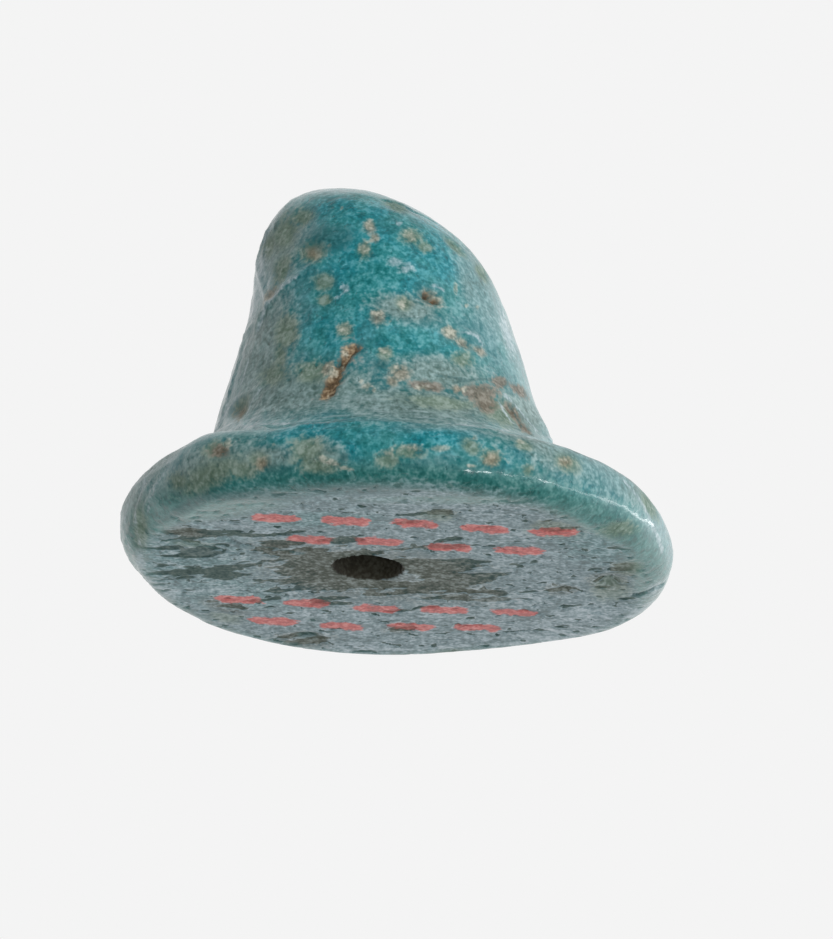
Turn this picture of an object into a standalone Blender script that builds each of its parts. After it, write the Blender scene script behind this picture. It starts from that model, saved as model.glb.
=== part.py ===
"""A glazed ceramic stamp seal: a leaning bell-shaped knob on a thick round disc.

Metres, +Z up. The seal stands on its flat stamping face, whose centre is the origin. The front of the
seal, with its long pit, faces -Y. It is one solid, turned first and then shaped as if by hand.
"""

import math

import bpy
import numpy as np

NAME = "stamp_seal"

# The whole seal
HEIGHT = 0.01463
SIDES = 72

# The disc
DISC_RADIUS = 0.00995
DISC_THICKNESS = 0.00253
RIM_DEPTH = 0.00105
SHOULDER_SLOPE = math.radians(15)

# The disc's plan isn't quite round: an exponent of 2 is an ellipse, and more is squarer
SQUARENESS = 2.2
PLAN_RATIO = 0.974
PLAN_TURN = math.radians(-15.8)

# The knob, before it leans
CROWN_WIDTH = 0.00462
CROWN_RISE = 0.00486
FLANK_TAPER = math.radians(15.1)
FLARE_RADIUS = 0.0034

# The knob's foot sits off the disc's centre, fully so inside this radius, and its tip is drawn further over
FOOT_OFFSET = -0.00096
FOOT_RADIUS = 0.0048
TIP_LEAN = -0.00190
TIP_LEAN_FROM = 0.0077
TIP_LEAN_POWER = 2.5

# The blind hole in the stamping face, with a round end
HOLE_RADIUS = 0.00122
HOLE_DEPTH = 0.0052
HOLE_CENTRE = (-0.00100, -0.00043)
HOLE_SIDES = 28
HOLE_END_STEPS = 5

# How finely each stretch of the profile is divided
CROWN_STEPS = 9
FLANK_STEPS = 8
FLARE_STEPS = 8
SHOULDER_STEPS = 3
RIM_STEPS = 15

# Hollows pressed into the soft clay: centre, radius and depth
HOLLOWS = [
    ((-0.0043, -0.0030, 0.0120), 0.0013, 0.00022),
    ((0.0034, -0.0046, 0.0072), 0.0012, 0.00014),
    ((-0.0056, -0.0036, 0.0060), 0.0012, 0.00016),
]

# Points of a turned shape closer than this are one point
MERGE_DISTANCE = 0.000001

GLAZE_COLOUR = (0.05, 0.27, 0.30, 1.0)
GLAZE_ROUGHNESS = 0.35


def smooth(value, low, high):
    """Rises smoothly from 0 at low to 1 at high."""
    t = np.clip((value - low) / (high - low), 0.0, 1.0)
    return t * t * (3.0 - 2.0 * t)


def arc(centre, radii, start, end, steps):
    """Points on an elliptical arc in the profile's plane, both ends included."""
    angles = np.linspace(start, end, steps + 1)
    return [(centre[0] + radii[0] * math.cos(a), centre[1] + radii[1] * math.sin(a)) for a in angles]


def line(start, end, steps):
    """Points along a straight stretch, both ends included."""
    return [tuple(np.add(start, np.subtract(end, start) * k / steps)) for k in range(steps + 1)]


def profile_points():
    """The turned outline, from the top of the crown down the outer side to the middle of the face."""
    crown_end = math.atan2(CROWN_RISE * math.sin(FLANK_TAPER), CROWN_WIDTH * math.cos(FLANK_TAPER))
    crown_centre = (0.0, HEIGHT - CROWN_RISE)
    crown = arc(crown_centre, (CROWN_WIDTH, CROWN_RISE), math.pi / 2, crown_end, CROWN_STEPS)

    half_thickness = DISC_THICKNESS / 2
    rim_centre = (DISC_RADIUS - RIM_DEPTH, half_thickness)
    rim_start = math.atan2(half_thickness, RIM_DEPTH * math.tan(SHOULDER_SLOPE))
    rim = arc(rim_centre, (RIM_DEPTH, half_thickness), rim_start, -math.pi / 2, RIM_STEPS)

    flank_top = np.array(crown[-1])
    flank_way = np.array([math.sin(FLANK_TAPER), -math.cos(FLANK_TAPER)])
    shoulder_end = np.array(rim[0])
    shoulder_way = np.array([math.cos(SHOULDER_SLOPE), -math.sin(SHOULDER_SLOPE)])

    # The flare is the fillet between the flank's line and the shoulder's line, so both meet it at a tangent
    flare_start_angle = math.pi + FLANK_TAPER
    flare_end_angle = 1.5 * math.pi - SHOULDER_SLOPE
    flare_turn = flare_end_angle - flare_start_angle
    tangent = FLARE_RADIUS * math.tan(flare_turn / 2)
    gap = shoulder_end - flank_top
    along = np.linalg.solve(np.column_stack([flank_way, shoulder_way]), gap)
    corner = flank_top + flank_way * along[0]
    flare_start = corner - flank_way * tangent
    outward = np.array([math.cos(FLANK_TAPER), math.sin(FLANK_TAPER)])
    flare_centre = flare_start + outward * FLARE_RADIUS
    flare = arc(flare_centre, (FLARE_RADIUS,) * 2, flare_start_angle, flare_end_angle, FLARE_STEPS)

    flank = line(flank_top, flare[0], FLANK_STEPS)
    shoulder = line(flare[-1], rim[0], SHOULDER_STEPS)
    return crown + flank[1:] + flare[1:] + shoulder[1:] + rim[1:] + [(0.0, 0.0)]


def turned(name, points, sides):
    """A closed solid turned about Z from a profile that runs down its outer side."""
    mesh = bpy.data.meshes.new(name + "_profile")
    rows = [(x, 0.0, z) for x, z in points]
    mesh.from_pydata(rows, [(k, k + 1) for k in range(len(rows) - 1)], [])
    profile = bpy.data.objects.new(name + "_profile", mesh)
    bpy.context.scene.collection.objects.link(profile)
    screw = profile.modifiers.new("turn", "SCREW")
    screw.angle = math.tau
    screw.steps = sides
    screw.render_steps = sides
    screw.use_merge_vertices = True
    screw.merge_threshold = MERGE_DISTANCE
    evaluated = profile.evaluated_get(bpy.context.evaluated_depsgraph_get())
    solid = bpy.data.objects.new(name, bpy.data.meshes.new_from_object(evaluated))
    bpy.data.objects.remove(profile)
    return solid


def knob_shift(radius, height):
    """How far each point of the knob stands to the side, fading out over the flare to the disc's rim."""
    on_knob = (1.0 - smooth(radius, FOOT_RADIUS, DISC_RADIUS - RIM_DEPTH)) * (height > DISC_THICKNESS)
    rise = np.clip((height - TIP_LEAN_FROM) / (HEIGHT - TIP_LEAN_FROM), 0.0, 1.0)
    return FOOT_OFFSET * on_knob + TIP_LEAN * rise**TIP_LEAN_POWER


def plan_scale(angle):
    """The disc's outline against a circle of its own radius: a slightly squared, slightly long round."""
    turn = angle - PLAN_TURN
    across = np.abs(np.cos(turn)) ** SQUARENESS
    deep = np.abs(np.sin(turn) / PLAN_RATIO) ** SQUARENESS
    return (across + deep) ** (-1.0 / SQUARENESS)


def shaped_by_hand(points):
    """Moves the turned points: squares the disc a little, leans the knob and presses the hollows in."""
    x, y, z = points.T
    radius = np.hypot(x, y)
    angle = np.arctan2(y, x)
    on_disc = smooth(radius, FOOT_RADIUS, DISC_RADIUS - RIM_DEPTH)
    scale = 1.0 + (plan_scale(angle) - 1.0) * on_disc
    moved = np.column_stack([x * scale + knob_shift(radius, z), y * scale, z])
    axis_way = np.column_stack([-np.cos(angle), -np.sin(angle), np.zeros_like(z)])
    for centre, reach, depth in HOLLOWS:
        away = np.linalg.norm(moved - np.array(centre), axis=1)
        moved += axis_way * (depth * np.exp(-((away / reach) ** 2)))[:, None]
    return moved


def glaze_material():
    """A satin turquoise glaze."""
    material = bpy.data.materials.new("glaze")
    material.use_nodes = True
    shader = material.node_tree.nodes["Principled BSDF"]
    shader.inputs["Base Color"].default_value = GLAZE_COLOUR
    shader.inputs["Roughness"].default_value = GLAZE_ROUGHNESS
    shader.inputs["Metallic"].default_value = 0.0
    return material


def hole_cutter():
    """A round-ended pin that starts below the face and cuts the blind hole."""
    end_centre = (0.0, HOLE_DEPTH - HOLE_RADIUS)
    round_end = arc(end_centre, (HOLE_RADIUS,) * 2, math.pi / 2, 0.0, HOLE_END_STEPS)
    foot = [(HOLE_RADIUS, -HOLE_RADIUS), (0.0, -HOLE_RADIUS)]
    cutter = turned("hole_cutter", round_end + foot, HOLE_SIDES)
    cutter.location = (*HOLE_CENTRE, 0.0)
    cutter.hide_render = True
    cutter.display_type = "WIRE"
    return cutter


def stamp_seal(cutter):
    """The seal itself, with the hole cut by a Boolean."""
    seal = turned(NAME, profile_points(), SIDES)
    mesh = seal.data
    points = np.empty(len(mesh.vertices) * 3)
    mesh.vertices.foreach_get("co", points)
    mesh.vertices.foreach_set("co", shaped_by_hand(points.reshape(-1, 3)).ravel())
    mesh.update()
    mesh.shade_smooth()
    mesh.materials.append(glaze_material())
    cut = seal.modifiers.new("hole", "BOOLEAN")
    cut.operation = "DIFFERENCE"
    cut.solver = "EXACT"
    cut.object = cutter
    return seal


def collection(name):
    made = bpy.data.collections.new(name)
    bpy.context.scene.collection.children.link(made)
    return made


def main():
    for old in list(bpy.data.objects):
        bpy.data.objects.remove(old)
    cutter = hole_cutter()
    collection("cutters").objects.link(cutter)
    collection(NAME).objects.link(stamp_seal(cutter))


main()
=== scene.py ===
"""The looks of the glazed ceramic stamp seal: its fine relief, its weathered glaze, the light and the camera.

Lengths in the shape and relief sections are millimetres, because the noise scales read best there. The
finished mesh is scaled to metres. A place on the seal that was read from the photograph is given as a pixel of
its 833 by 939 frame, and is carried to the surface by the scene's own camera.
"""

import math

import bpy
import numpy as np
from mathutils import Matrix, Vector, noise
from mathutils.bvhtree import BVHTree


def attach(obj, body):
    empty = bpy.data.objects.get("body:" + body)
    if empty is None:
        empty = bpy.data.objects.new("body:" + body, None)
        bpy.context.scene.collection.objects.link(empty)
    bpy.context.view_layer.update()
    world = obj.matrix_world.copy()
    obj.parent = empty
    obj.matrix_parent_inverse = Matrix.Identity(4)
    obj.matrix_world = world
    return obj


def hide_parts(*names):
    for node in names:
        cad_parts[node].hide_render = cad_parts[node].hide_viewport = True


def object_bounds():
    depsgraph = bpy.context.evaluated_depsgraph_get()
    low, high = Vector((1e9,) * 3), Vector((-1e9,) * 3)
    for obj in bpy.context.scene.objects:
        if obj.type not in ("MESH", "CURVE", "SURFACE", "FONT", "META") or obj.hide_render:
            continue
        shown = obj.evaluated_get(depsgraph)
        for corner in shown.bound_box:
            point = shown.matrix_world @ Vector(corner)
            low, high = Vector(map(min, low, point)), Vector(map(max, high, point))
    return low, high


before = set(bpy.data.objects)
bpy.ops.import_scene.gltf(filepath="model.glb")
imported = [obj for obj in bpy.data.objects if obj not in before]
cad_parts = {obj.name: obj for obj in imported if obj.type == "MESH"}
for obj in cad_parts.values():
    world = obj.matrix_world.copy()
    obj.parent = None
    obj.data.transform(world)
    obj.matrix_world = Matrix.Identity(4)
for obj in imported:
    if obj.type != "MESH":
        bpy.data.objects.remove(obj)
CAD_BOX = [list(corner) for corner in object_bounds()]

MM = 0.001

# The photograph's frame and where the middle of the seal's face lies in it
PHOTO_SIZE = (833, 939)
ORIGIN_PIXEL = (395.2, 574.4)
PIXELS_PER_MM = 27.6
CAMERA_DISTANCE = 400.0
CAMERA_ELEVATION = math.radians(-20)
CAMERA_ROLL = 0.0535
SENSOR = 36.0

# The form, with the same names and sizes as the solid's own source, in millimetres
HEIGHT = 14.63
DISC_RADIUS = 9.95
DISC_THICKNESS = 2.53
RIM_DEPTH = 1.05
SHOULDER_SLOPE = math.radians(15)
SQUARENESS = 2.2
PLAN_RATIO = 0.974
PLAN_TURN = math.radians(-15.8)
CROWN_WIDTH = 4.62
CROWN_RISE = 4.86
FLANK_TAPER = math.radians(15.1)
FLARE_RADIUS = 3.4
FOOT_OFFSET = -0.96
FOOT_RADIUS = 4.8
TIP_LEAN = -1.90
TIP_LEAN_FROM = 7.7
TIP_LEAN_POWER = 2.5
HOLE_RADIUS = 1.22
HOLE_DEPTH = 5.2
HOLE_CENTRE = np.array([-1.00, -0.43])
HOLE_LIP = 0.10
HOLLOWS = [
    ((-4.3, -3.0, 12.0), 1.3, 0.22),
    ((3.4, -4.6, 7.2), 1.2, 0.14),
    ((-5.6, -3.6, 6.0), 1.2, 0.16),
]

# The fine mesh
SIDES = 400
STEP = 0.10
VOXEL = 0.118
KEEP_INSIDE = 0.004


def smooth(value, low, high):
    """Rises smoothly from 0 at low to 1 at high."""
    t = np.clip((value - low) / (high - low), 0.0, 1.0)
    return t * t * (3.0 - 2.0 * t)


# Camera


def camera_axes():
    """The camera's right, up and forward directions, before it is turned to frame the seal."""
    rise = CAMERA_ELEVATION
    forward = np.array([0.0, math.cos(rise), -math.sin(rise)])
    up = np.array([0.0, math.sin(rise), math.cos(rise)])
    right = np.array([1.0, 0.0, 0.0])
    c, s = math.cos(CAMERA_ROLL), math.sin(CAMERA_ROLL)
    return c * right + s * up, c * up - s * right, forward


def make_camera():
    right, up, forward = camera_axes()
    middle = (PHOTO_SIZE[0] / 2, PHOTO_SIZE[1] / 2)
    across = (middle[0] - ORIGIN_PIXEL[0]) / PIXELS_PER_MM
    above = (ORIGIN_PIXEL[1] - middle[1]) / PIXELS_PER_MM
    place = -CAMERA_DISTANCE * forward
    ahead = right * across + up * above - place
    ahead /= np.linalg.norm(ahead)
    right -= ahead * (ahead @ right)
    right /= np.linalg.norm(right)
    up = np.cross(right, ahead)
    data = bpy.data.cameras.new("camera")
    data.sensor_width = SENSOR
    data.lens = SENSOR * CAMERA_DISTANCE * PIXELS_PER_MM / max(PHOTO_SIZE)
    data.clip_start, data.clip_end = 0.01, 10.0
    camera = bpy.data.objects.new("camera", data)
    bpy.context.scene.collection.objects.link(camera)
    turn = Matrix([[right[k], up[k], -ahead[k]] for k in range(3)]).to_4x4()
    camera.matrix_world = Matrix.Translation(Vector(place * MM)) @ turn
    bpy.context.scene.camera = camera
    return {"place": place, "right": right, "up": up, "ahead": ahead}


def pixel_ray(view, x, y):
    """The direction from the camera through a pixel of the photograph."""
    focal = CAMERA_DISTANCE * PIXELS_PER_MM
    across = (x - PHOTO_SIZE[0] / 2) / focal
    above = (PHOTO_SIZE[1] / 2 - y) / focal
    way = view["ahead"] + view["right"] * across + view["up"] * above
    return way / np.linalg.norm(way)


# The form


def arc(centre, radii, start, end):
    """Points on an elliptical arc in the profile's plane, about one step apart."""
    steps = max(3, round(max(radii) * abs(end - start) / STEP))
    angles = np.linspace(start, end, steps + 1)
    return [(centre[0] + radii[0] * math.cos(a), centre[1] + radii[1] * math.sin(a)) for a in angles]


def line(start, end):
    steps = max(2, round(np.linalg.norm(np.subtract(end, start)) / STEP))
    return [tuple(np.add(start, np.subtract(end, start) * k / steps)) for k in range(steps + 1)]


def profile_points():
    """The turned outline: crown, flank, flare, shoulder, rim, face, then up the hole to its round end."""
    crown_end = math.atan2(CROWN_RISE * math.sin(FLANK_TAPER), CROWN_WIDTH * math.cos(FLANK_TAPER))
    crown = arc((0.0, HEIGHT - CROWN_RISE), (CROWN_WIDTH, CROWN_RISE), math.pi / 2, crown_end)
    half_thickness = DISC_THICKNESS / 2
    rim_start = math.atan2(half_thickness, RIM_DEPTH * math.tan(SHOULDER_SLOPE))
    rim = arc((DISC_RADIUS - RIM_DEPTH, half_thickness), (RIM_DEPTH, half_thickness), rim_start, -math.pi / 2)
    flank_way = np.array([math.sin(FLANK_TAPER), -math.cos(FLANK_TAPER)])
    shoulder_way = np.array([math.cos(SHOULDER_SLOPE), -math.sin(SHOULDER_SLOPE)])
    flare_start, flare_end = math.pi + FLANK_TAPER, 1.5 * math.pi - SHOULDER_SLOPE
    tangent = FLARE_RADIUS * math.tan((flare_end - flare_start) / 2)
    ways = np.column_stack([flank_way, shoulder_way])
    corner = crown[-1] + flank_way * np.linalg.solve(ways, np.subtract(rim[0], crown[-1]))[0]
    outward = np.array([math.cos(FLANK_TAPER), math.sin(FLANK_TAPER)])
    flare_centre = corner - flank_way * tangent + outward * FLARE_RADIUS
    flare = arc(flare_centre, (FLARE_RADIUS,) * 2, flare_start, flare_end)
    lip = arc((HOLE_RADIUS + HOLE_LIP, HOLE_LIP), (HOLE_LIP,) * 2, 1.5 * math.pi, math.pi)
    end = arc((0.0, HOLE_DEPTH - HOLE_RADIUS), (HOLE_RADIUS,) * 2, 0.0, math.pi / 2)
    flank = line(crown[-1], flare[0])
    shoulder = line(flare[-1], rim[0])
    face = line(rim[-1], lip[0])
    wall = line(lip[-1], end[0])
    return crown + flank[1:] + flare[1:] + shoulder[1:] + rim[1:] + face[1:] + lip[1:] + wall[1:] + end[1:]


def plan_scale(angle):
    """The disc's outline against a circle of its own radius: a slightly squared, slightly long round."""
    turn = angle - PLAN_TURN
    across = np.abs(np.cos(turn)) ** SQUARENESS
    deep = np.abs(np.sin(turn) / PLAN_RATIO) ** SQUARENESS
    return (across + deep) ** (-1.0 / SQUARENESS)


def shaped_by_hand(radius, angle, height, inside):
    """Squares the turned disc, leans the knob, presses the hollows and sets the hole off centre."""
    on_disc = smooth(radius, FOOT_RADIUS, DISC_RADIUS - RIM_DEPTH)
    scale = 1.0 + (plan_scale(angle) - 1.0) * on_disc
    rise = np.clip((height - TIP_LEAN_FROM) / (HEIGHT - TIP_LEAN_FROM), 0.0, 1.0)
    knob = np.where(inside, 0.0, (1.0 - on_disc) * (height > DISC_THICKNESS))
    shift = FOOT_OFFSET * knob + np.where(inside, 0.0, TIP_LEAN * rise**TIP_LEAN_POWER)
    to_hole = np.where(inside, 1.0 - smooth(radius, HOLE_RADIUS, DISC_RADIUS - RIM_DEPTH), 0.0)
    x = radius * np.cos(angle) * scale + shift + HOLE_CENTRE[0] * to_hole
    y = radius * np.sin(angle) * scale + HOLE_CENTRE[1] * to_hole
    points = np.column_stack([x, y, height])
    inward = np.column_stack([-np.cos(angle), -np.sin(angle), np.zeros_like(angle)])
    for centre, reach, depth in HOLLOWS:
        away = np.linalg.norm(points - np.array(centre), axis=1)
        press = depth * np.exp(-((away / reach) ** 2)) * ~inside
        points += inward * press[:, None]
    return points


def turned_mesh():
    """The smooth form as rings of quads, in millimetres."""
    rows = np.array(profile_points())
    rim_foot = np.argmax((rows[:, 1] <= 0.0) & (rows[:, 0] > HOLE_RADIUS))
    inside = np.arange(len(rows)) > rim_foot
    angles = np.arange(SIDES) * math.tau / SIDES
    radius, angle = np.repeat(rows[:, 0], SIDES), np.tile(angles, len(rows))
    points = shaped_by_hand(radius, angle, np.repeat(rows[:, 1], SIDES), np.repeat(inside, SIDES))
    first = np.arange((len(rows) - 1) * SIDES).reshape(-1, SIDES)
    after = np.roll(first, -1, axis=1)
    quads = np.stack([first, first + SIDES, after + SIDES, after], axis=-1).reshape(-1, 4)
    mesh = bpy.data.meshes.new("turned")
    mesh.from_pydata(points.tolist(), [], quads.tolist())
    return mesh


def even_mesh(rough):
    """The same surface as quads of one size, so that the relief has even detail all over."""
    carrier = bpy.data.objects.new("carrier", rough)
    bpy.context.scene.collection.objects.link(carrier)
    remesh = carrier.modifiers.new("even", "REMESH")
    remesh.mode = "VOXEL"
    remesh.voxel_size = VOXEL
    evaluated = carrier.evaluated_get(bpy.context.evaluated_depsgraph_get())
    mesh = bpy.data.meshes.new_from_object(evaluated)
    bpy.data.objects.remove(carrier)
    return mesh


def read_points(mesh):
    flat = np.empty(len(mesh.vertices) * 3)
    mesh.vertices.foreach_get("co", flat)
    return flat.reshape(-1, 3)


def read_normals(mesh):
    flat = np.empty(len(mesh.vertices) * 3)
    mesh.vertex_normals.foreach_get("vector", flat)
    return flat.reshape(-1, 3)


# Weathering and relief

SEED = 11

# Every mark is x, y, half width, half height in the photograph's pixels, and its tilt in degrees, clockwise
DEEP = [
    (195, 560, 60, 36, 5), (230, 592, 60, 18, 5), (320, 520, 60, 8, 0), (600, 545, 40, 24, 10),
    (372, 275, 62, 66, -15), (335, 330, 34, 28, 0), (440, 252, 30, 36, -30), (350, 212, 50, 16, 0),
    (405, 342, 40, 16, 0), (358, 452, 40, 14, 0), (430, 440, 44, 12, 0), (505, 455, 40, 14, 10),
    (300, 436, 30, 9, -8), (180, 500, 50, 8, -30), (575, 485, 28, 14, 20), (240, 492, 60, 10, 0),
    (240, 452, 30, 8, -8), (300, 488, 60, 9, 0), (450, 350, 16, 8, 0),
]
DULL = [
    (282, 245, 26, 36, 15), (262, 350, 24, 58, 12), (300, 392, 85, 24, -5), (425, 404, 110, 19, 3),
    (520, 415, 35, 20, 20), (442, 374, 44, 18, 10), (205, 470, 60, 18, -28), (135, 520, 18, 42, 0),
    (625, 480, 34, 14, 40), (320, 458, 24, 18, 0), (285, 330, 12, 20, 0), (480, 290, 14, 34, -20),
    (262, 458, 34, 14, 0), (405, 308, 34, 13, 8),
]
# Painted light: the knob's right flank, the rim's right part and end, and the knob's top edge are coloured
# paler where light falls on them.
SIDE_LIGHT_MARKS = [
    (484, 305, 18, 40, -15), (600, 470, 50, 14, 28), (654, 555, 16, 56, 0), (470, 270, 12, 24, -30),
    (330, 190, 40, 6, 0),
]
OLIVE = [
    (312, 372, 16, 12, 5), (303, 218, 14, 10, -10), (286, 234, 15, 20, 15), (270, 246, 7, 14, 10),
    (284, 272, 9, 16, 20), (314, 254, 13, 12, 0), (324, 282, 12, 9, 0), (325, 300, 8, 6, 0),
    (286, 332, 12, 18, 0), (280, 356, 6, 14, 0), (274, 374, 16, 12, 0), (240, 408, 8, 13, 35),
    (412, 236, 12, 9, 10), (425, 246, 9, 6, 20), (396, 206, 13, 6, 25), (482, 272, 12, 6, 55),
    (455, 246, 16, 4, 42), (364, 250, 8, 9, 0), (345, 330, 8, 8, 0), (404, 303, 8, 8, 0),
    (463, 358, 12, 8, 0), (385, 353, 8, 7, 0), (210, 476, 36, 12, -26), (180, 482, 12, 10, 0),
    (243, 470, 14, 8, 0), (258, 460, 10, 9, 0), (218, 452, 12, 7, -20), (307, 450, 16, 14, 0),
    (318, 466, 18, 8, 5), (471, 446, 12, 7, 40), (491, 458, 12, 9, 20), (524, 445, 9, 6, 10),
    (528, 470, 6, 6, 0), (568, 462, 13, 10, 20), (388, 459, 12, 8, 0), (408, 452, 16, 7, 0),
    (628, 470, 24, 7, 40), (650, 505, 18, 7, 60), (620, 530, 18, 9, 0), (554, 530, 24, 9, 5),
    (500, 412, 26, 12, 30), (440, 402, 40, 7, 5), (139, 530, 8, 26, 0), (612, 590, 20, 16, 0),
    (628, 568, 14, 9, 0), (438, 516, 18, 6, 0), (190, 545, 18, 3, 0), (225, 618, 18, 5, 12),
]
TAN = [
    (315, 254, 7, 7, 0), (271, 295, 5, 9, 35), (400, 373, 10, 8, 0), (392, 381, 6, 5, 0),
    (457, 389, 6, 5, 0), (464, 342, 10, 5, 22), (481, 351, 7, 4, 42), (451, 333, 9, 6, 30),
    (378, 318, 8, 8, 0), (370, 226, 6, 7, -20), (375, 237, 4, 6, -20), (492, 460, 8, 7, 0),
    (262, 464, 7, 6, 0), (566, 461, 7, 6, 0), (238, 412, 6, 8, 35), (350, 351, 7, 6, 20),
    (329, 367, 7, 8, 20), (430, 297, 14, 8, 30), (553, 527, 12, 4, 5), (610, 590, 8, 10, 0),
]
RUST = [
    (480, 391, 20, 8, 3), (487, 403, 12, 9, 0), (500, 382, 9, 7, 0), (519, 391, 13, 5, 35),
    (428, 386, 18, 5, 5), (514, 413, 4, 12, -38), (524, 428, 4, 10, -45), (222, 453, 9, 6, 0),
    (300, 640, 18, 4, 0),
]
BROWN = [(426, 294, 5, 4, 28), (435, 301, 6, 3, 30), (327, 392, 5, 7, 0), (609, 581, 12, 4, 0)]
# Cream grains; the smallest dots on the rim's top and on the knob's right side are painted glints.
CREAM_AND_GLINT_MARKS = [
    (331, 371, 6, 5, 0), (331, 366, 4, 4, 0), (345, 353, 3, 3, 0), (341, 365, 3, 3, 0), (370, 224, 5, 4, 0),
    (364, 249, 6, 7, 0), (375, 314, 5, 4, 0), (390, 321, 2, 2, 0), (367, 387, 5, 4, 0), (374, 390, 3, 3, 0),
    (361, 381, 2, 2, 0), (450, 331, 7, 4, 30), (345, 329, 6, 6, 0), (403, 303, 4, 5, 0),
    (413, 303, 2, 4, 0), (411, 236, 7, 6, 0), (394, 368, 6, 4, 0), (465, 388, 3, 3, 0), (428, 300, 2, 2, 0),
    (456, 288, 2, 6, 0), (333, 463, 8, 3, 18), (345, 468, 7, 2, 8), (322, 459, 5, 3, 0),
    (229, 445, 4, 4, 0), (273, 444, 2, 2, 0), (475, 437, 2, 2, 0), (471, 466, 5, 2, 0), (330, 246, 2, 2, 0),
    (342, 208, 2, 2, 0), (385, 350, 6, 4, 0), (478, 307, 2, 2, 0), (467, 305, 2, 2, 0), (388, 452, 7, 4, 0),
    (412, 447, 10, 4, 0), (520, 441, 5, 2, 0), (286, 607, 4, 2, 0), (422, 388, 6, 3, 0),
    (330, 396, 3, 3, 0), (566, 459, 4, 3, 0), (440, 448, 10, 3, 0),
]
# Dark marks: some are darker glaze; the band along the rim's lower edge and the dark centres of pits are
# painted shade.
DARK_AND_SHADE_MARKS = [
    (372, 254, 3, 3, 0), (379, 319, 2, 3, 0), (381, 365, 8, 6, 0), (425, 294, 2, 2, 0),
    (330, 240, 26, 14, -10), (250, 497, 60, 6, 0), (190, 505, 40, 6, -30), (350, 490, 60, 5, 0),
    (276, 226, 2, 7, 15), (344, 457, 5, 4, 0), (315, 620, 8, 3, 0), (308, 637, 12, 4, 0),
]
# Pale marks: some are pale spots of the glaze; the strip on the knob's right flank and the bands across the
# far part of the face are painted reflection.
PALE_AND_REFLECTION_MARKS = [
    (345, 289, 6, 5, 30), (338, 297, 3, 3, 0), (262, 268, 6, 16, 10), (252, 305, 6, 20, 12),
    (508, 335, 6, 26, -10), (395, 262, 8, 5, 0), (405, 268, 9, 6, 0), (560, 640, 50, 8, -8),
    (160, 590, 24, 8, 40), (140, 560, 5, 20, 0), (655, 590, 14, 10, -40), (640, 610, 20, 6, -25),
    (500, 600, 44, 7, 0), (590, 614, 40, 8, -5), (300, 590, 30, 5, 0), (220, 590, 40, 6, 0),
    (200, 553, 40, 5, 6),
]
SOIL = [
    (375, 574, 104, 26, 3), (300, 553, 45, 10, 8), (470, 595, 40, 10, 5), (609, 582, 20, 11, 0),
    (628, 570, 18, 8, 0), (553, 527, 22, 5, 5), (613, 528, 18, 6, 0), (442, 514, 14, 4, 0),
    (560, 590, 16, 5, 0), (305, 640, 30, 8, 0), (225, 606, 24, 7, 18), (180, 532, 24, 5, 8),
    (400, 630, 16, 6, 0),
]

# Where the rim's clear glaze runs on over the edge of the face
GLAZED_EDGE = [
    (245, 512, 76, 13, -3), (160, 512, 34, 18, -35), (656, 565, 20, 46, 8), (600, 520, 56, 14, 22),
    (420, 502, 90, 6, 0),
]

# Thin pale and dark lines: the pixels they pass and their half width in pixels
# Pale lines: most are painted highlight and reflection, along the rim's top edge, on the knob's right side, on
# ridge crests at the left and along the far edge of the face; a few are pale crust at the knob's top.
PALE_AND_HIGHLIGHT_LINES = [
    ([(300, 278), (285, 289), (272, 301), (264, 315), (256, 332)], 3.0),
    ([(281, 211), (271, 228), (265, 242)], 3.5), ([(243, 338), (232, 372), (222, 405), (210, 428)], 2.5),
    ([(237, 397), (224, 414), (213, 430)], 2.5), ([(252, 345), (246, 365), (240, 385)], 1.5),
    ([(262, 388), (252, 400), (246, 414)], 1.5),
    ([(212, 430), (250, 427), (300, 424), (350, 422), (400, 422), (450, 424), (500, 430), (545, 441)], 3.0),
    ([(385, 196), (405, 203), (425, 214), (442, 226)], 2.5),
    ([(461, 332), (470, 333), (478, 337), (483, 344)], 2.2), ([(430, 285), (437, 286), (444, 290)], 2.0),
    ([(150, 470), (139, 492), (134, 520), (141, 548)], 2.5), ([(166, 470), (153, 490), (147, 512)], 2.0),
    ([(128, 500), (124, 522), (130, 548)], 2.5), ([(625, 482), (640, 500), (652, 525), (663, 552)], 3.0),
    ([(505, 395), (520, 412), (536, 432)], 2.5), ([(500, 400), (505, 412), (515, 424)], 2.0),
    ([(270, 655), (340, 650), (420, 652), (500, 650), (560, 642)], 4.0),
]
# Dark lines: painted shade in cracks, grooves and the crease just above the rim's top edge, with a few darker
# edges of the glaze at the knob's top.
DARK_AND_SHADE_LINES = [
    ([(281, 212), (271, 226), (266, 242), (265, 260)], 1.6), ([(249, 290), (247, 307)], 1.6),
    ([(249, 334), (244, 350), (241, 366), (238, 380)], 2.2),
    ([(384, 198), (398, 207), (412, 213), (425, 221)], 1.8),
    ([(425, 222), (445, 233), (462, 247), (480, 268), (494, 290)], 1.6),
    ([(455, 382), (468, 380), (492, 379)], 2.0),
    ([(290, 419), (350, 417), (420, 418), (480, 423), (520, 430)], 1.6),
    ([(633, 598), (645, 593), (656, 588), (665, 583)], 2.2),
    ([(228, 541), (245, 546), (262, 549), (284, 552), (304, 556)], 2.0),
    ([(146, 534), (165, 542), (192, 545), (216, 550)], 2.0), ([(436, 375), (455, 378), (466, 379)], 2.0),
    ([(508, 403), (516, 414), (523, 426)], 1.6),
]

# Where the face's crust has flaked off in strips
FLAKED = [
    (235, 560, 120, 34, 8), (300, 600, 60, 14, 5), (455, 570, 60, 12, 5), (150, 575, 26, 40, 0),
    (400, 545, 80, 12, 3),
]

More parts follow.
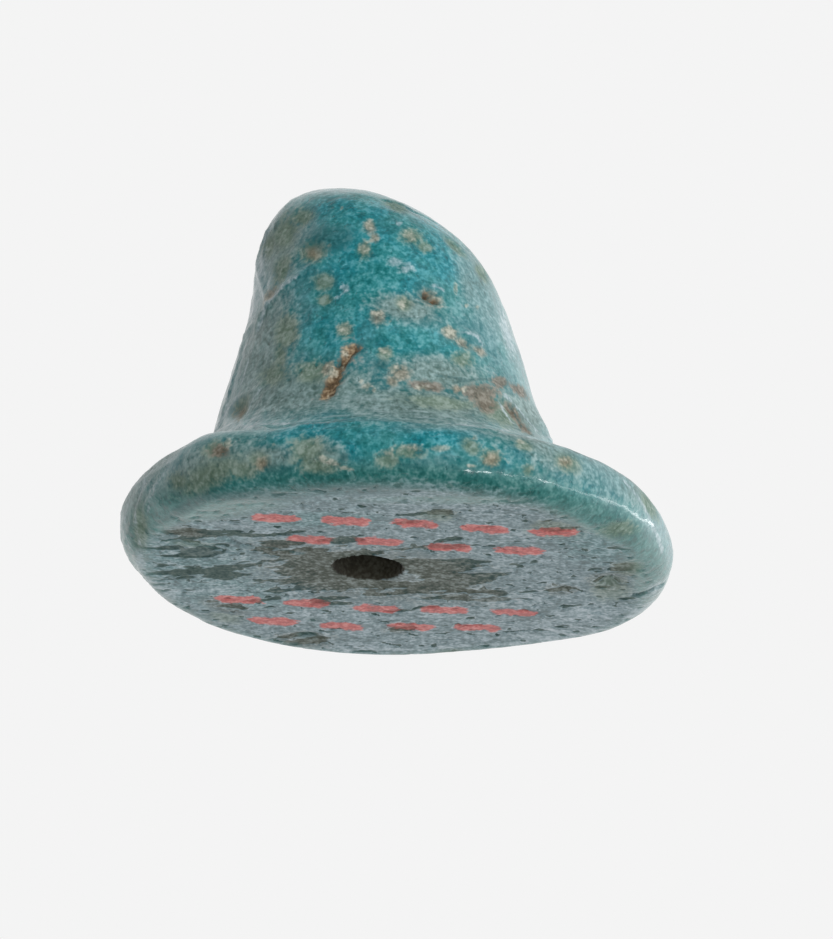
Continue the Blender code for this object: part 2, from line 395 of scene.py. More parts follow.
# Pits and dents: the mark, then its depth in millimetres
PITS = [
    ((428, 297, 9, 6, 28), 0.14), ((371, 254, 4, 4, 0), 0.10), ((276, 293, 5, 12, 30), 0.08),
    ((238, 409, 9, 15, 35), 0.14), ((467, 343, 14, 5, 28), 0.10), ((609, 581, 13, 5, 0), 0.25),
    ((566, 590, 15, 3, 3), 0.08), ((463, 360, 18, 9, 10), 0.05), ((267, 285, 12, 20, 25), 0.06),
    ((484, 397, 24, 10, 5), 0.05), ((390, 310, 10, 6, 0), 0.03), ((307, 637, 16, 5, 0), 0.12),
    ((492, 598, 6, 2, 0), 0.07), ((516, 601, 7, 2, 0), 0.07), ((537, 607, 5, 2, 0), 0.07),
    ((540, 616, 7, 2, 0), 0.08), ((505, 617, 5, 2, 0), 0.07), ((551, 598, 4, 2, 0), 0.07),
    ((563, 607, 4, 2, 0), 0.07), ((587, 609, 7, 2, 5), 0.08), ((599, 613, 6, 2, 5), 0.08),
    ((405, 501, 7, 2, 0), 0.07), ((423, 512, 5, 2, 0), 0.07), ((462, 511, 6, 2, 0), 0.07),
    ((359, 506, 5, 2, 0), 0.06), ((367, 511, 4, 2, 0), 0.06), ((492, 511, 8, 2, 0), 0.06),
    ((236, 530, 18, 4, 3), 0.07), ((175, 544, 13, 3, 3), 0.08), ((186, 530, 14, 3, 4), 0.06),
    ((262, 562, 12, 3, 12), 0.09), ((259, 577, 4, 2, 0), 0.08), ((205, 568, 20, 3, 2), 0.06),
]

# The long pit, by the pixels down its middle, and its half width in millimetres
LONG_PIT = [(352, 349), (346, 358), (340, 367), (335, 377), (330, 386), (327, 393)]
LONG_PIT_WIDTH = 0.27
LONG_PIT_DEPTH = 0.13

# Raised bumps in the same form
BUMPS = [
    ((332, 370, 5, 4, 0), 0.14), ((345, 353, 3, 3, 0), 0.10), ((378, 318, 7, 7, 0), 0.04),
    ((411, 237, 14, 10, 10), 0.03), ((366, 247, 9, 9, 0), 0.03), ((345, 330, 10, 9, 0), 0.03),
    ((433, 284, 14, 3, 10), 0.05), ((472, 334, 16, 4, 28), 0.08), ((315, 254, 8, 8, 0), 0.04),
    ((370, 388, 8, 5, 0), 0.05), ((385, 352, 9, 7, 0), 0.04), ((453, 331, 9, 5, 10), 0.04),
]

# Folds and cracks: the pixels they pass, their half width in pixels and their height in millimetres
FOLDS = [
    ([(322, 263), (307, 273), (295, 282), (282, 292), (270, 303), (262, 314), (256, 326)], 5, 0.09),
    ([(268, 232), (258, 262), (251, 300), (244, 335), (237, 365), (226, 402), (214, 428)], 4, 0.07),
    ([(212, 431), (301, 426), (392, 423), (497, 431), (549, 442)], 4, 0.08),
    ([(220, 415), (252, 392), (262, 385)], 4, 0.06),
    ([(383, 200), (398, 203), (412, 211), (426, 217), (440, 225)], 2, -0.06),
    ([(440, 225), (455, 238), (470, 252), (487, 275)], 2, -0.03),
    ([(224, 538), (242, 545), (259, 549), (281, 551), (304, 555)], 2, -0.10),
    ([(145, 531), (162, 541), (190, 543), (215, 548), (234, 553)], 2, -0.06),
    ([(633, 597), (645, 593), (655, 588), (664, 585)], 2, -0.15),
    ([(458, 386), (475, 384), (490, 381), (500, 377)], 2, -0.05),
    ([(500, 398), (512, 412), (520, 424), (530, 434)], 3, -0.08),
    ([(155, 478), (146, 492), (140, 510), (139, 528)], 2, -0.07),
    ([(146, 480), (136, 497), (131, 520), (136, 545)], 2, -0.06),
]

# Places where the hand-made form differs from the turned one: the pixel, its reach and its height
SWELLS = [
    ((206, 445), 1.5, 0.26), ((544, 436), 1.0, 0.22), ((262, 236), 1.6, 0.16), ((470, 648), 3.0, -0.16),
    ((540, 640), 2.4, -0.14), ((235, 640), 1.6, 0.14),
]

# Red brush dabs in staggered lines: each line's middle on the face in millimetres, and how many dabs it has
DAB_LINES = [((0.6, -5.3), 5), ((0.6, -3.2), 4), ((-0.6, 3.7), 5), ((-0.6, 5.8), 4)]
DAB_SPACING = 2.5
DAB_LENGTH = 0.9
DAB_HALF_WIDTH = 0.42
DAB_SWAY = 0.12

# The flaked strips run across the face at a slant, drawn out to about half as much again as they are wide
FLAKE_GRAIN = np.array([[0.50, 0.42, 0.0], [0.12, 1.45, 0.0], [0.0, 0.0, 1.0]])


class Surface:
    """The even mesh's points in millimetres, with the camera's view of them."""

    def __init__(self, mesh, view):
        self.points = read_points(mesh)
        self.normals = read_normals(mesh)
        self.view = view
        faces = [tuple(face.vertices) for face in mesh.polygons]
        self.tree = BVHTree.FromPolygons([Vector(point) for point in self.points], faces)
        offset = self.points - view["place"]
        self.to_camera = -np.sum(self.normals * offset, axis=1) / np.linalg.norm(offset, axis=1)

    def spot(self, x, y):
        """The place on the surface that a pixel of the photograph shows."""
        ray = pixel_ray(self.view, x, y)
        hit = self.tree.ray_cast(Vector(self.view["place"]), Vector(ray))[0]
        if hit is None:
            beside = Vector(self.view["place"] + ray * CAMERA_DISTANCE)
            hit = self.tree.find_nearest(beside)[0]
        return np.array(hit)

    def mark(self, x, y, half_width, half_height, tilt):
        """How far every point is from a mark's centre, with 1 at the mark's edge."""
        away = self.points - self.spot(x, y)
        across, above = away @ self.view["right"], away @ self.view["up"]
        c, s = math.cos(math.radians(tilt)), math.sin(math.radians(tilt))
        wide, high = half_width / PIXELS_PER_MM, half_height / PIXELS_PER_MM
        deep = max(1.0, 2.5 * max(wide, high))
        along, over = across * c - above * s, across * s + above * c
        return np.sqrt((along / wide) ** 2 + (over / high) ** 2 + ((away @ self.view["ahead"]) / deep) ** 2)

    def marks(self, places):
        """The union of marks: 1 in the middle of one, 0 at its edge and -1 far outside."""
        value = np.full(len(self.points), -1.0)
        for place in places:
            value = np.maximum(value, 1.0 - self.mark(*place))
        return value

    def lines(self, paths):
        """The union of thin lines: 1 along the middle of one, 0 at its edge and less outside."""
        value = np.full(len(self.points), -1.0)
        for pixels, half in paths:
            value = np.maximum(value, 1.0 - self.path(pixels) / (half / PIXELS_PER_MM))
        return value

    def path(self, pixels):
        """The distance in millimetres from a line through pixels of the photograph."""
        stops = np.array([self.spot(x, y) for x, y in pixels])
        nearest = np.full(len(self.points), 1e3)
        for start, end in zip(stops, stops[1:]):
            way = end - start
            t = np.clip((self.points - start) @ way / (way @ way), 0.0, 1.0)
            nearest = np.minimum(nearest, np.linalg.norm(self.points - start - t[:, None] * way, axis=1))
        return nearest


def cloud(points, size, seed, octaves=2):
    """Soft noise between about -1 and 1, with lumps of the given size."""
    shift = Vector((seed * 17.3, seed * 5.1, seed * 11.7))
    scaled = np.asarray(points) / size
    return np.array([noise.fractal(Vector(place) + shift, 1.0, 2.0, octaves) for place in scaled])


def bowl(distance):
    """A rounded dent's form: 1 in its middle and 0 from its edge on."""
    return np.clip(1.0 - distance**2, 0.0, 1.0) ** 1.5


def scatter(surface, count, sizes, seed, where):
    """Seeded round marks on the sides that the photograph doesn't show."""
    pick = np.random.default_rng(seed)
    able = np.flatnonzero(where)
    value = np.full(len(surface.points), -1.0)
    for index in pick.choice(able, count):
        size = pick.uniform(*sizes)
        squash = np.array([1.0, 1.0, pick.uniform(0.9, 1.8)])
        away = (surface.points - surface.points[index]) * squash
        value = np.maximum(value, 1.0 - np.linalg.norm(away, axis=1) / size)
    return value


def brush_dabs(points):
    """How deep every point lies in a dab: short level strokes, evenly spaced along the lines."""
    x, y, z = points.T
    half = DAB_HALF_WIDTH * (1.0 + 0.35 * cloud(points, 0.7, 13, 2))
    value = np.full(len(points), -1.0)
    for (middle, line), count in DAB_LINES:
        for k in range(count):
            along = np.abs(x - middle - (k - (count - 1) / 2) * DAB_SPACING)
            aside = y - line - DAB_SWAY * math.sin(2.0 * k + line)
            away = np.sqrt(np.maximum(along - DAB_LENGTH / 2, 0.0) ** 2 + aside**2 + z**2)
            value = np.maximum(value, half - away)
    return value


def make_fields(surface):
    """Every mask of the glaze, by name, as one number per point."""
    points, normals = surface.points, surface.normals
    height = points[:, 2]
    from_hole = np.hypot(points[:, 0] - HOLE_CENTRE[0], points[:, 1] - HOLE_CENTRE[1])
    in_hole = smooth(HOLE_RADIUS + 0.14 - from_hole, 0.0, 0.06)
    in_hole = in_hole * (height < HOLE_DEPTH + 0.5) * (height > 0.02)
    flat = smooth(RIM_DEPTH - height, 0.2, RIM_DEPTH) * (1.0 - in_hole)
    flat *= smooth(np.maximum(-normals[:, 2], HOLE_RADIUS + 1.0 - from_hole), 0.90, 0.995)
    radius, angle = np.hypot(points[:, 0], points[:, 1]), np.arctan2(points[:, 1], points[:, 0])
    inward = DISC_RADIUS * plan_scale(angle) - radius
    hidden = surface.to_camera < -0.1
    outer = hidden & (in_hole < 0.1)
    # The field named under is how far a point near the base faces down; it carries the painted shade of the
    # underside.
    fields = {"face": flat, "hole": in_hole, "under": np.clip(-normals[:, 2], -1.0, 1.0) * (height < 1.6)}
    fields["inward"] = np.where(height < 1.0, inward - 1.0, -1.0)
    for name, places, count, sizes in [
        ("deep", DEEP, 10, (1.5, 3.0)),
        ("dull", DULL, 12, (1.2, 2.8)),
        ("light", SIDE_LIGHT_MARKS, 8, (1.0, 2.0)),
        ("olive", OLIVE, 46, (0.25, 0.8)),
        ("tan", TAN, 22, (0.15, 0.4)),
        ("rust", RUST, 12, (0.2, 0.6)),
        ("brown", BROWN, 6, (0.15, 0.35)),
        ("cream", CREAM_AND_GLINT_MARKS, 40, (0.07, 0.22)),
        ("dark", DARK_AND_SHADE_MARKS, 24, (0.06, 0.20)),
        ("pale", PALE_AND_REFLECTION_MARKS, 16, (0.15, 0.5)),
    ]:
        seen = surface.marks(places)
        fields[name] = np.maximum(seen, scatter(surface, count, sizes, SEED + len(fields), outer))
    long_pit = surface.path(LONG_PIT) / (LONG_PIT_WIDTH * (1.0 + 0.6 * cloud(points, 0.5, 12, 2)))
    fields["brown"] = np.maximum(fields["brown"], 1.0 - long_pit)
    fields["rust"] = np.maximum(fields["rust"], 0.45 - 0.45 * long_pit)
    fields["pale"] = np.maximum(fields["pale"], surface.lines(PALE_AND_HIGHLIGHT_LINES))
    fields["dark"] = np.maximum(fields["dark"], surface.lines(DARK_AND_SHADE_LINES))
    fields["inward"] -= 1.2 * smooth(surface.marks(GLAZED_EDGE), -0.4, 0.6)
    fields["soil"] = surface.marks(SOIL)
    slanted = points @ FLAKE_GRAIN
    flakes = cloud(slanted, 0.80, 1, 4)
    pores = cloud(points * np.array([0.8, 1.0, 1.0]), 0.26, 9, 1)
    flaked = smooth(surface.marks(FLAKED), -0.4, 0.5)
    bare = smooth(fields["soil"], -0.3, 0.3)
    strip = -flakes - (0.60 - 0.45 * flaked - 0.62 * bare)
    pore = (-pores - 0.42) * 1.2
    fields["sunk"] = np.maximum(strip, pore)
    fields["paint"] = brush_dabs(points)
    fields["foot"] = smooth(height, 2.3, 2.6) * (1.0 - smooth(height, 3.8, 5.4)) * (1.0 - in_hole)
    return fields


def relief(surface, fields):
    """How far every point moves along its normal, in millimetres."""
    points = surface.points
    flat, hole = fields["face"], fields["hole"]
    free = (1.0 - flat) * (1.0 - hole)
    moved = free * (0.050 * cloud(points, 3.6, 3, 2) + 0.026 * cloud(points, 1.1, 4, 3) - 0.02)
    moved += 0.007 * free * cloud(points, 0.36, 5, 2)
    left_side = smooth(-points[:, 0], 2.6, 4.6) * (points[:, 2] > 3.0) * free
    moved += 0.045 * left_side * np.abs(cloud(points * np.array([1.0, 1.0, 0.6]), 0.8, 14, 3))
    moved -= 0.030 * smooth(fields["olive"], -0.1, 0.5) * free
    moved -= 0.03 * smooth(fields["rust"], -0.1, 0.5) * free
    for pixel, reach, rise in SWELLS:
        away = np.linalg.norm(points - surface.spot(*pixel), axis=1)
        moved += rise * np.exp(-((away / reach) ** 2)) * (1.0 - hole)
    for place, depth in PITS:
        moved -= depth * bowl(surface.mark(*place) / 1.2)
    for place, rise in BUMPS:
        moved += rise * bowl(surface.mark(*place) / 1.1)
    for pixels, half, rise in FOLDS:
        moved += rise * np.exp(-((surface.path(pixels) / (half / PIXELS_PER_MM)) ** 2))
    moved -= LONG_PIT_DEPTH * smooth(fields["brown"], -0.2, 0.7) * (surface.to_camera > 0.0) * free
    moved -= 0.050 * flat * smooth(fields["sunk"], -0.05, 0.12)
    moved -= 0.010 * flat * (1.0 + cloud(points, 0.5, 10, 2))
    angle = np.arctan2(points[:, 1], points[:, 0])
    along_rim = np.column_stack([np.cos(angle) * 3.0, np.sin(angle) * 3.0, points[:, 2] / 0.22])
    left_end = smooth(-points[:, 0], 6.5, 8.5) * (points[:, 2] < 3.2) * free
    moved += 0.06 * left_end * cloud(along_rim, 1.0, 6, 2)
    moved += 0.02 * fields["foot"] * free * cloud(along_rim, 1.0, 7, 2)
    moved -= 0.03 * hole * (1.0 + cloud(points, 0.5, 8, 2))
    return moved


def keep_inside(points):
    """The points held just inside the solid's own box."""
    low, high = np.array(CAD_BOX) / MM
    return np.clip(points, low + KEEP_INSIDE * np.array([1, 1, 0]), high - KEEP_INSIDE)


def make_seal(view):
    mesh = even_mesh(turned_mesh())
    surface = Surface(mesh, view)
    fields = make_fields(surface)
    points = surface.points + surface.normals * relief(surface, fields)[:, None]
    points = keep_inside(points)
    mesh.vertices.foreach_set("co", (points * MM).ravel())
    mesh.update()
    mesh.shade_smooth()
    for name, values in fields.items():
        layer = mesh.attributes.new(name, "FLOAT", "POINT")
        layer.data.foreach_set("value", np.clip(values, -1.0, 1.0).astype(np.float32))
    seal = bpy.data.objects.new("seal", mesh)
    bpy.context.scene.collection.objects.link(seal)
    return seal


# The glaze's colours: the darkest grains, the common colour and the palest grains of each kind of surface

SATURATED = ((0.000, 0.115, 0.135), (0.010, 0.212, 0.250), (0.085, 0.360, 0.415))
PLAIN = ((0.015, 0.150, 0.168), (0.070, 0.228, 0.245), (0.170, 0.345, 0.365))
GREENISH = ((0.003, 0.155, 0.148), (0.040, 0.245, 0.240), (0.120, 0.375, 0.380))
WORN = ((0.085, 0.140, 0.122), (0.175, 0.264, 0.252), (0.300, 0.420, 0.415))
# Paler glaze: where seen, painted light on the right side and the top edge; on the unseen sides, random pale
# patches.
PALE_PATCH_AND_SIDE_LIGHT = ((0.045, 0.175, 0.195), (0.105, 0.260, 0.280), (0.220, 0.400, 0.425))
# Painted shade: a darker colour for the parts near the base that face downwards, where the shade falls.
UNDERSIDE_SHADE = ((0.000, 0.085, 0.072), (0.012, 0.150, 0.135), (0.070, 0.245, 0.225))
OLIVE_STAIN = ((0.092, 0.150, 0.098), (0.158, 0.225, 0.165), (0.270, 0.345, 0.285))
TAN_STAIN = ((0.145, 0.105, 0.065), (0.255, 0.205, 0.138), (0.440, 0.385, 0.290))
RUST_STAIN = ((0.098, 0.072, 0.048), (0.160, 0.128, 0.095), (0.270, 0.240, 0.200))
BROWN_EARTH = ((0.048, 0.030, 0.014), (0.150, 0.095, 0.050), (0.420, 0.320, 0.200))
# Cream grains, and painted glints in the same colour.
CREAM_GRAIN_AND_GLINT = ((0.190, 0.240, 0.200), (0.310, 0.335, 0.270), (0.600, 0.600, 0.510))
# Pale glaze and painted highlight: used for pale spots, and for painted highlights, reflections and lit flake
# edges.
PALE_VEIL_AND_HIGHLIGHT = ((0.190, 0.300, 0.340), (0.330, 0.440, 0.480), (0.560, 0.640, 0.680))
# Dark glaze, and painted shade in pits, cracks and along the rim's lower edge.
DARK_GAP_AND_SHADE = ((0.000, 0.045, 0.050), (0.012, 0.090, 0.092), (0.040, 0.130, 0.130))
CRUST = ((0.080, 0.140, 0.148), (0.175, 0.260, 0.285), (0.380, 0.480, 0.525))
TEAL_CRUST = ((0.020, 0.095, 0.098), (0.095, 0.215, 0.225), (0.270, 0.430, 0.460))
BARE = ((0.012, 0.048, 0.045), (0.058, 0.105, 0.094), (0.110, 0.160, 0.145))
EARTH = ((0.045, 0.056, 0.040), (0.098, 0.118, 0.098), (0.240, 0.280, 0.265))
RED_PAINT = ((0.360, 0.085, 0.075), (0.570, 0.110, 0.100), (0.720, 0.250, 0.225))
HOLE_WALL = ((0.012, 0.010, 0.006), (0.026, 0.024, 0.015), (0.055, 0.055, 0.042))
WHITE_BLUE = (0.480, 0.620, 0.650)


class Nodes:
    """Short words for a material's or a world's nodes; every call gives back the socket it makes."""

    def __init__(self, owner):
        self.owner = owner
        owner.use_nodes = True
        self.tree = owner.node_tree
        self.place = self.vector("SCALE", self.coordinates("Object"), 1.0 / MM)

    def coordinates(self, kind):
        return self.tree.nodes.new("ShaderNodeTexCoord").outputs[kind]

    def plug(self, socket, value):
        if isinstance(value, bpy.types.NodeSocket):
            self.tree.links.new(value, socket)
        elif isinstance(value, tuple) and len(value) == 3 and socket.type == "RGBA":
            socket.default_value = (*value, 1.0)
        else:
            socket.default_value = value

    def vector(self, operation, first, second):
        node = self.tree.nodes.new("ShaderNodeVectorMath")
        node.operation = operation
        self.plug(node.inputs[0], first)
        self.plug(node.inputs["Scale" if operation == "SCALE" else 1], second)
        return node.outputs[0]

    def math(self, operation, *values):
        node = self.tree.nodes.new("ShaderNodeMath")
        node.operation = operation
        for socket, value in zip(node.inputs, values):
            self.plug(socket, value)
        return node.outputs[0]

    def add(self, first, second, amount=1.0):
        """The first value with an amount of the second added."""
        scaled = second if amount == 1.0 else self.math("MULTIPLY", second, amount)
        return self.math("ADD", first, scaled)

    def total(self, start, *terms):
        """The start plus every term times its own amount."""
        value = start
        for term, amount in terms:
            value = self.math("MULTIPLY_ADD", term, amount, value)
        return value

    def texture(self, kind, size, seed, stretch=(1.0, 1.0, 1.0)):
        """A texture node whose pattern repeats its form about once in the given size, in millimetres."""
        moved = self.vector("MULTIPLY", self.place, tuple(s / size for s in stretch))
        node = self.tree.nodes.new(kind)
        self.plug(node.inputs["Vector"], self.vector("ADD", moved, (seed * 7.7, seed * 3.3, seed * 9.1)))
        node.inputs["Scale"].default_value = 1.0
        return node

    def noise(self, size, seed, detail=1.0, roughness=0.6, stretch=(1.0, 1.0, 1.0)):
        """Noise between 0 and 1 whose largest lumps have the given size in millimetres."""
        node = self.texture("ShaderNodeTexNoise", size, seed, stretch)
        node.inputs["Detail"].default_value = detail
        node.inputs["Roughness"].default_value = roughness
        return node.outputs["Fac"]

    def spots(self, size, seed, share, reach):
        """Soft round spots in a share of the cells of the given size in millimetres."""
        node = self.texture("ShaderNodeTexVoronoi", size, seed)
        split = self.tree.nodes.new("ShaderNodeSeparateColor")
        self.tree.links.new(node.outputs["Color"], split.inputs["Color"])
        chosen = self.step(split.outputs["Red"], share - 0.05, share + 0.05, (1.0, 0.0))
        return self.math("MULTIPLY", chosen, self.step(node.outputs["Distance"], 0.0, reach, (1.0, 0.0)))

    def field(self, name):
        node = self.tree.nodes.new("ShaderNodeAttribute")
        node.attribute_name = name
        return node.outputs["Fac"]

    def step(self, value, low, high, result=(0.0, 1.0)):
        node = self.tree.nodes.new("ShaderNodeMapRange")
        node.interpolation_type = "SMOOTHSTEP"
        self.plug(node.inputs["Value"], value)
        for socket, number in zip(("From Min", "From Max", "To Min", "To Max"), (low, high, *result)):
            node.inputs[socket].default_value = number
        return node.outputs["Result"]

    def mix(self, amount, first, second):
        node = self.tree.nodes.new("ShaderNodeMix")
        node.data_type = "RGBA"
        self.plug(node.inputs[0], amount)
        self.plug(node.inputs[6], first)
        self.plug(node.inputs[7], second)
        return node.outputs[2]

    def line(self, value, low, high):
        """Rises straight from 0 at low to 1 at high."""
        node = self.tree.nodes.new("ShaderNodeMapRange")
        self.plug(node.inputs["Value"], value)
        node.inputs["From Min"].default_value = low
        node.inputs["From Max"].default_value = high
        return node.outputs["Result"]

    def blend(self, amount, first, second):
        node = self.tree.nodes.new("ShaderNodeMix")
        self.plug(node.inputs[0], amount)
        self.plug(node.inputs[2], first)
        self.plug(node.inputs[3], second)
        return node.outputs[0]

    def bump(self, height, distance, normal=None):
        node = self.tree.nodes.new("ShaderNodeBump")
        node.inputs["Distance"].default_value = distance * MM
        self.plug(node.inputs["Height"], height)
        if normal is not None:
            self.plug(node.inputs["Normal"], normal)
        return node.outputs["Normal"]


def glaze_material():
    g = Nodes(bpy.data.materials.new("glaze"))
    surface = g.tree.nodes["Principled BSDF"]
    grain = g.add(g.noise(0.17, 1, 1.0), -0.5)
    fleck = g.add(g.noise(0.42, 2, 1.0), -0.5)
    lump = g.add(g.noise(1.1, 3, 2.0), -0.5)
    hue = g.step(g.noise(1.9, 4, 3.0, 0.8), 0.40, 0.62)
    crystal = g.spots(0.15, 5, 0.40, 0.55)
    pinhole = g.spots(0.42, 6, 0.35, 0.28)
    streak = g.noise(0.30, 7, 2, 0.6, (0.18, 0.18, 2.6))
    tone = g.total(0.51, (grain, 1.8), (fleck, 1.2), (lump, 0.8), (crystal, 0.30), (pinhole, -0.45))
    frayed = g.total(0.0, (grain, 3.0), (fleck, 2.6), (lump, 2.0))

    def ramp(colours, value=tone):
        dark, common, pale = colours
        low, high = g.line(value, 0.0, 0.5), g.line(value, 0.5, 1.0)
        return g.mix(high, g.mix(low, dark, common), pale)

    def mask(name, fray, low, high):
        """A named mask whose edge is broken up into grains."""
        return g.step(g.add(g.field(name), frayed, fray), low, high)

    def cover(colour, amount, colours, strength=1.0):
        return g.mix(g.math("MULTIPLY", amount, strength), colour, ramp(colours))

    deep = mask("deep", 0.35, -0.4, 0.5)
    worn = mask("dull", 0.35, -0.5, 0.5)
    colour = g.mix(deep, ramp(PLAIN), ramp(SATURATED))
    colour = cover(colour, hue, GREENISH, 0.55)
    colour = cover(colour, worn, WORN, 0.90)
    streaks = g.math("MULTIPLY", g.field("foot"), g.step(streak, 0.50, 0.66))
    colour = g.mix(g.math("MULTIPLY", streaks, 0.30), colour, WHITE_BLUE)
    # Painted light: the right side and the top edge are made paler; on the unseen sides the same colour gives
    # random pale patches.
    colour = cover(colour, mask("light", 0.35, -0.4, 0.6), PALE_PATCH_AND_SIDE_LIGHT, 0.65)
    # Painted shade: the parts near the base that face downwards are coloured darker.
    painted_underside_shade = g.step(g.add(g.field("under"), frayed, 0.08), 0.05, 0.70)
    colour = cover(colour, painted_underside_shade, UNDERSIDE_SHADE, 0.85)
    olive = mask("olive", 0.40, -0.45, 0.55)
    colour = cover(colour, olive, OLIVE_STAIN, 0.80)
    rust = mask("rust", 0.45, -0.40, 0.50)
    colour = cover(colour, rust, RUST_STAIN, 0.85)
    tan = mask("tan", 0.40, -0.50, 0.70)
    colour = cover(colour, tan, TAN_STAIN, 0.70)
    brown = mask("brown", 0.30, -0.20, 0.45)
    colour = cover(colour, brown, BROWN_EARTH, 0.92)
    # Cream grains, and a few painted glints.
    cream = mask("cream", 0.40, -0.45, 0.65)
    colour = cover(colour, cream, CREAM_GRAIN_AND_GLINT, 0.65)

    face = g.step(g.add(g.field("inward"), frayed, 0.25), -0.70, 0.60)
    soil = mask("soil", 0.35, -0.40, 0.30)
    sunk = g.step(g.add(g.field("sunk"), grain, 0.25), -0.05, 0.10)
    # Painted highlight: a pale band along the edges of the flaked strips, where they catch the light.
    near_sunk = g.step(g.add(g.field("sunk"), grain, 0.25), -0.20, -0.06)
    edge = g.math("MULTIPLY", near_sunk, g.blend(sunk, 1.0, 0.0))
    crust = g.mix(g.math("MULTIPLY", deep, 0.8), ramp(CRUST), ramp(TEAL_CRUST))
    crust = cover(crust, soil, EARTH, 0.60)
    crust = cover(crust, edge, PALE_VEIL_AND_HIGHLIGHT, 0.55)
    under_face = g.mix(sunk, crust, g.mix(soil, ramp(BARE), ramp(EARTH)))
    under_face = cover(under_face, g.math("MULTIPLY", olive, g.blend(sunk, 0.8, 0.4)), OLIVE_STAIN, 0.7)
    colour = g.mix(face, colour, under_face)
    # Pale spots, with painted highlight and reflection along the rim's top edge, ridge crests and the far part
    # of the face.
    pale = mask("pale", 0.40, -0.30, 0.70)
    colour = cover(colour, g.math("MULTIPLY", pale, g.blend(sunk, 1.0, 0.2)), PALE_VEIL_AND_HIGHLIGHT, 0.60)
    # Darker glaze, and painted shade in pits, cracks and along the rim's lower edge.
    dark = mask("dark", 0.35, -0.30, 0.60)
    colour = cover(colour, dark, DARK_GAP_AND_SHADE, 0.60)
    dry = g.add(g.noise(0.16, 8, 2, 0.6, (0.6, 1.0, 1.0)), -0.5)
    brushed = g.step(g.total(g.field("paint"), (dry, 0.45), (fleck, 0.35)), -0.04, 0.10)
    brushed = g.math("MULTIPLY", brushed, g.blend(sunk, 0.95, 0.6))
    colour = cover(colour, brushed, RED_PAINT)
    hole = g.field("hole")
    colour = cover(colour, hole, HOLE_WALL)
    g.plug(surface.inputs["Base Color"], colour)

    patches = g.math("MAXIMUM", g.math("MAXIMUM", olive, rust), g.math("MAXIMUM", brown, cream))
    rough = g.blend(worn, g.blend(g.line(tone, 0.0, 1.0), 0.30, 0.42), 0.5)
    rough = g.blend(patches, rough, 0.65)
    rough = g.blend(face, rough, g.blend(sunk, 0.50, 0.80))
    g.plug(surface.inputs["Roughness"], g.blend(hole, rough, 0.9))
    shine = g.math("MULTIPLY", g.blend(worn, 0.6, 0.2), g.blend(patches, 1.0, 0.2))
    shine = g.math("MULTIPLY", shine, g.math("MULTIPLY", g.blend(face, 1.0, 0.0), g.blend(hole, 1.0, 0.0)))
    g.plug(surface.inputs["Coat Weight"], shine)
    surface.inputs["Coat Roughness"].default_value = 0.13

    grains = g.bump(g.line(tone, -0.2, 1.2), 0.016)
    g.plug(surface.inputs["Normal"], g.bump(sunk, -0.02, grains))
    return g.owner


# Light and the floor

BACKDROP = 0.905
ROOM = 0.12
FLOOR_REACH = 3.0
FLOOR_DROP = 0.00002
LIGHT_DISTANCE = 0.45


def make_world():
    """A bright backdrop behind the seal and to its right, and a dimmer room on the camera's side."""
    g = Nodes(bpy.data.worlds.new("studio"))
    bpy.context.scene.world = g.owner
    parts = g.tree.nodes.new("ShaderNodeSeparateXYZ")
    g.plug(parts.inputs[0], g.coordinates("Generated"))
    right, back, up = (parts.outputs[k] for k in range(3))
    behind = g.step(back, -0.2, 0.7, (0.0, 0.80))
    behind = g.math("MULTIPLY", behind, g.step(up, 0.80, 0.98, (1.0, 0.35)))
    room = g.add(g.add(behind, g.step(right, 0.3, 0.95, (0.0, 0.40))), ROOM)
    seen = g.tree.nodes.new("ShaderNodeLightPath").outputs["Is Camera Ray"]
    g.plug(g.tree.nodes["Background"].inputs["Color"], g.blend(seen, room, BACKDROP))


def toward(azimuth, elevation):
    """The direction at an azimuth from the front round to the right, and an elevation, both in degrees."""
    turn, rise = math.radians(azimuth), math.radians(elevation)
    return Vector((math.sin(turn) * math.cos(rise), -math.cos(turn) * math.cos(rise), math.sin(rise)))


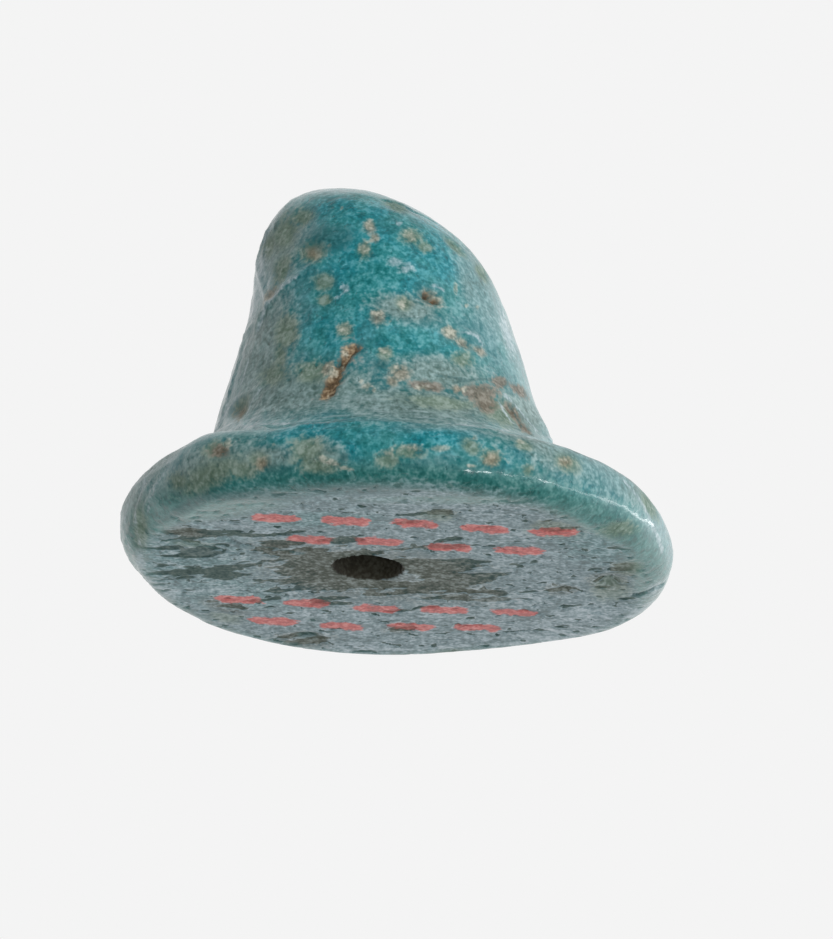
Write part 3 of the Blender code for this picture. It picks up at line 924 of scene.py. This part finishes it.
def softbox(name, start, end, width, power, glossy=True):
    """An area light that reaches from one direction to another, as seen from the seal, and faces it."""
    first, last = toward(*start) * LIGHT_DISTANCE, toward(*end) * LIGHT_DISTANCE
    middle = (first + last) / 2
    data = bpy.data.lights.new(name, "AREA")
    data.shape = "RECTANGLE"
    data.size, data.size_y = (last - first).length, width
    data.energy = power
    light = bpy.data.objects.new(name, data)
    along, back = (last - first).normalized(), middle.normalized()
    turn = Matrix([along, back.cross(along).normalized(), back]).transposed().to_4x4()
    light.matrix_world = Matrix.Translation(middle) @ turn
    light.visible_glossy = glossy
    bpy.context.scene.collection.objects.link(light)


def make_floor():
    """A pale floor that is seen from above, and see-through from beneath."""
    g = Nodes(bpy.data.materials.new("floor"))
    surface = g.tree.nodes["Principled BSDF"]
    surface.inputs["Base Color"].default_value = (0.82, 0.82, 0.82, 1.0)
    surface.inputs["Roughness"].default_value = 0.8
    clear = g.tree.nodes.new("ShaderNodeBsdfTransparent")
    pick = g.tree.nodes.new("ShaderNodeMixShader")
    g.plug(pick.inputs[0], g.tree.nodes.new("ShaderNodeNewGeometry").outputs["Backfacing"])
    g.plug(pick.inputs[1], surface.outputs[0])
    g.plug(pick.inputs[2], clear.outputs[0])
    g.plug(g.tree.nodes["Material Output"].inputs["Surface"], pick.outputs[0])
    mesh = bpy.data.meshes.new("floor")
    around = ((-1, -1), (1, -1), (1, 1), (-1, 1))
    corners = [(x * FLOOR_REACH, y * FLOOR_REACH, -FLOOR_DROP) for x, y in around]
    mesh.from_pydata(corners, [], [(0, 1, 2, 3)])
    mesh.materials.append(g.owner)
    floor = bpy.data.objects.new("floor", mesh)
    bpy.context.scene.collection.objects.link(floor)
    floor.visible_shadow = False
    floor.visible_diffuse = False
    floor.visible_glossy = False


bpy.context.scene.view_settings.view_transform = "Standard"
make_world()
softbox("key", (10, 32), (58, 32), 0.30, 1.25, glossy=False)
softbox("fill", (-40, -22), (10, -22), 0.30, 0.62, glossy=False)
softbox("first glint", (22, -36), (29, -32), 0.022, 0.14)
softbox("second glint", (37, -28), (45, -25), 0.016, 0.05)
softbox("third glint", (55, -23), (62, -21), 0.022, 0.14)
softbox("side strip", (64, -22), (132, 12), 0.025, 0.30)
make_floor()
seal = make_seal(make_camera())
seal.data.materials.append(glaze_material())
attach(seal, "root")
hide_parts("stamp_seal")
